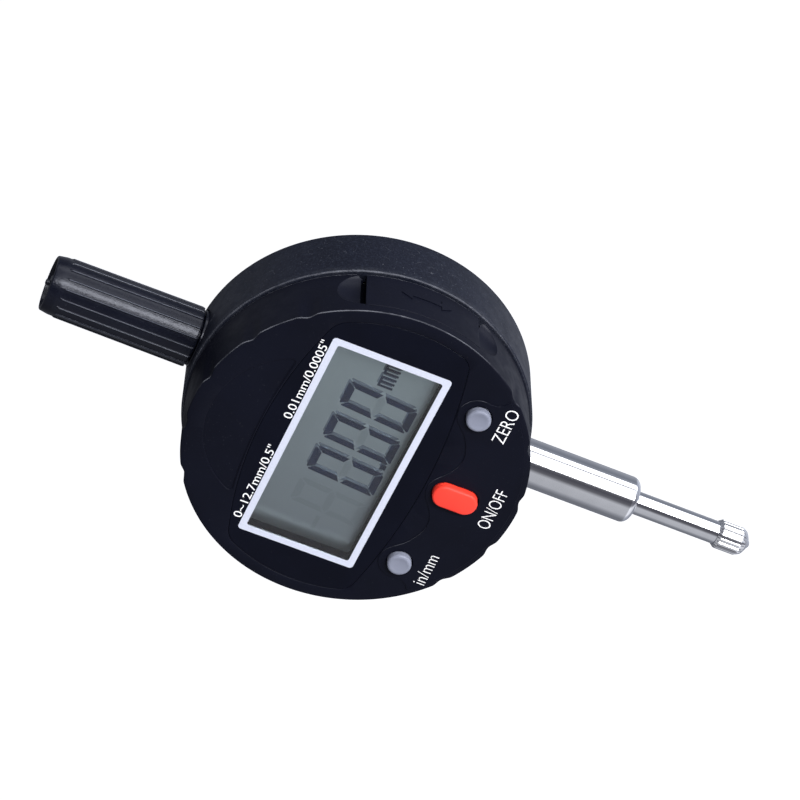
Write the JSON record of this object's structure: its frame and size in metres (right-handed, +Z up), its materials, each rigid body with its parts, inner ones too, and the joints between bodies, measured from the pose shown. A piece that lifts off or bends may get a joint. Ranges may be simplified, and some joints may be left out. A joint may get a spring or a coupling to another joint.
{
  "type": "digital dial indicator",
  "caption": "Round digital dial indicator with an LCD face, push keys, a sprung spindle in a plain mounting stem, and a ribbed dust cap.",
  "frame": {"origin": "centre of the flat back face", "axes": "+Z up along the spindle axis towards the dust cap, -Y out of the reading face, +X in the reading direction"},
  "size_m": [0.0572, 0.0269, 0.1266],
  "materials": {
    "black_plastic": "moulded black ABS, fine satin texture",
    "rear_casting": "zinc casting with a fine black powder coat, scuffed along its front edge",
    "lens_print": "clear acrylic printed black behind, white border and range marks",
    "display_glass": "grey-green reflective LCD behind a clear window",
    "grey_key": "satin grey",
    "red_key": "satin red",
    "white_plastic": "moulded, matt",
    "rubber": "black elastomer",
    "polished_steel": "ground and polished stainless steel",
    "spring_steel": "bright spring wire",
    "dark_screw": "blackened steel",
    "zinc_frame": "die-cast, as cast",
    "bronze": "sintered bronze",
    "gold_contact": "gold-plated spring strip",
    "green_board": "glass-epoxy board with green mask",
    "chip_black": "moulded epoxy"
  },
  "bodies": {
    "housing": {"front_housing": "black_plastic", "cap_collar": "black_plastic", "battery_holder": "black_plastic", "rear_housing": "rear_casting", "back_cover": "rear_casting", "lens_panel": "lens_print", "lcd_glass": "display_glass", "lcd_holder": "white_plastic", "housing_seal": "rubber", "stop_bumper": "rubber", "zebra_strip_upper": "rubber", "zebra_strip_lower": "rubber", "stem_tube": "polished_steel", "battery_cell": "polished_steel", "return_spring": "spring_steel", "case_screw_1": "dark_screw", "case_screw_2": "dark_screw", "case_screw_3": "dark_screw", "case_screw_4": "dark_screw", "board_screw_1": "dark_screw", "board_screw_2": "dark_screw", "board_screw_3": "dark_screw", "chassis_screw_1": "dark_screw", "chassis_screw_2": "dark_screw", "chassis_frame": "zinc_frame", "lower_bushing": "bronze", "upper_bushing": "bronze", "battery_contact_negative": "gold_contact", "main_board": "green_board", "sensor_board": "green_board", "controller_chip": "chip_black", "data_connector": "chip_black", "sensor_chip": "chip_black", "board_connector": "chip_black", "zero_switch": "chip_black", "unit_switch": "chip_black", "power_switch": "chip_black"},
    "spindle": {"spindle": "polished_steel", "contact_point": "polished_steel", "contact_ball": "polished_steel", "slider_block": "zinc_frame", "clamp_screw": "dark_screw", "scale_strip": "green_board", "guide_pin": "polished_steel"},
    "zero_key": {"zero_key": "grey_key"},
    "unit_key": {"unit_key": "grey_key"},
    "power_key": {"power_key": "red_key"},
    "dust_cap": {"dust_cap": "black_plastic"},
    "port_cover": {"port_cover": "black_plastic"},
    "battery_lid": {"battery_lid": "black_plastic", "battery_contact_positive": "gold_contact", "battery_lid_seal": "rubber"}
  },
  "joints": [
    {"name": "spindle_travel", "type": "slide", "parent": "housing", "child": "spindle", "axis": [0, 0, 1], "range_m": [0, 0.0127], "stiffness_N_per_m": 40, "springref_m": -0.015, "deforming": ["return_spring"]},
    {"name": "zero_key_press", "type": "slide", "parent": "housing", "child": "zero_key", "axis": [0, 1, 0], "range_m": [0, 0.0004], "stiffness_N_per_m": 1500, "springref_m": -0.0002},
    {"name": "unit_key_press", "type": "slide", "parent": "housing", "child": "unit_key", "axis": [0, 1, 0], "range_m": [0, 0.0004], "stiffness_N_per_m": 1500, "springref_m": -0.0002},
    {"name": "power_key_press", "type": "slide", "parent": "housing", "child": "power_key", "axis": [0, 1, 0], "range_m": [0, 0.0004], "stiffness_N_per_m": 1500, "springref_m": -0.0002},
    {"name": "dust_cap_off", "type": "slide", "parent": "housing", "child": "dust_cap", "axis": [0, 0, 1], "range_m": [0, 0.03]},
    {"name": "port_cover_off", "type": "slide", "parent": "housing", "child": "port_cover", "axis": [1, 0, 0], "range_m": [0, 0.008]},
    {"name": "battery_lid_turn", "type": "hinge", "parent": "housing", "child": "battery_lid", "pos_m": [0.0125, 0, -0.0085], "axis": [0, 1, 0], "range_deg": [0, 90]}
  ]
}
